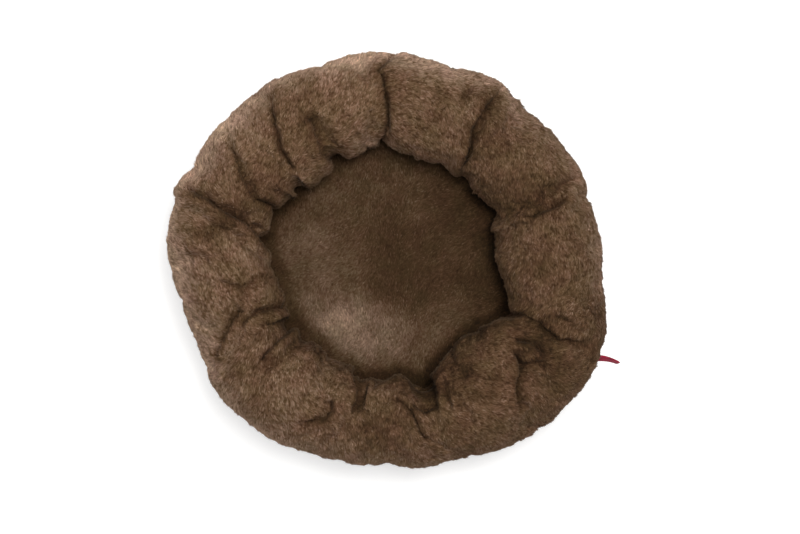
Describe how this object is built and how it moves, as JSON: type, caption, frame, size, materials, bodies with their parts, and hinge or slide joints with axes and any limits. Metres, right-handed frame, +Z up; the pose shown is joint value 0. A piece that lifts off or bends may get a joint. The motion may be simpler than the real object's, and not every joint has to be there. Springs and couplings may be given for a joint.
{
  "type": "donut pet bed",
  "caption": "Round donut pet bed: a gathered plush bolster ring round a sunken plush seat, with a zip-off cover and filled cushions.",
  "frame": {"origin": "centre of the base panel's underside, on the floor", "axes": "+Z up, out of the bed; +X towards the right of the picture; +Y towards its top, where the zip runs"},
  "size_m": [0.6163, 0.5649, 0.1645],
  "materials": {
    "bolster_plush": "short brown plush, matt with a soft nap",
    "seat_plush": "short brown plush, pressed flatter",
    "base_cloth": "dark brown woven cloth with small non-slip dots",
    "liner_cloth": "thin off-white lining",
    "fibre_fill": "loose white polyester fibre",
    "elastic_tape": "knitted elastic tape",
    "zip_tape_cloth": "dark brown woven zip tape",
    "zip_coil_plastic": "dark brown nylon coil",
    "bronze_metal": "dark bronze plating, satin",
    "red_ribbon": "bare crimson woven ribbon"
  },
  "bodies": {
    "bed": {"bolster_panel_left": "bolster_plush", "bolster_panel_front": "bolster_plush", "bolster_panel_right": "bolster_plush", "seat_panel": "seat_plush", "base_panel": "base_cloth", "bolster_liner": "liner_cloth", "bolster_fibre": "fibre_fill", "seat_liner": "liner_cloth", "seat_fibre": "fibre_fill", "gather_elastic": "elastic_tape", "zip_tape_lower": "zip_tape_cloth", "zip_tape_upper": "zip_tape_cloth", "zip_coil_lower": "zip_coil_plastic", "zip_coil_upper": "zip_coil_plastic", "zip_start_stop": "bronze_metal", "zip_end_stop": "bronze_metal"},
    "slider": {"zip_slider": "bronze_metal"},
    "pull": {"zip_pull": "bronze_metal"},
    "label": {"side_label": "red_ribbon"}
  },
  "joints": [
    {"name": "zip_travel", "type": "hinge", "parent": "bed", "child": "slider", "pos_m": [0, 0, 0], "axis": [0, 0, 1], "range_deg": [-148, 0]},
    {"name": "pull_swing", "type": "hinge", "parent": "slider", "child": "pull", "pos_m": [-0.24694, 0.06902, 0.012], "axis": [0, 0, 1], "range_deg": [0, 170]},
    {"name": "label_bend", "type": "hinge", "parent": "bed", "child": "label", "pos_m": [0.28751, -0.13407, 0.082], "axis": [0, 0, 1], "range_deg": [-50, 15]}
  ]
}
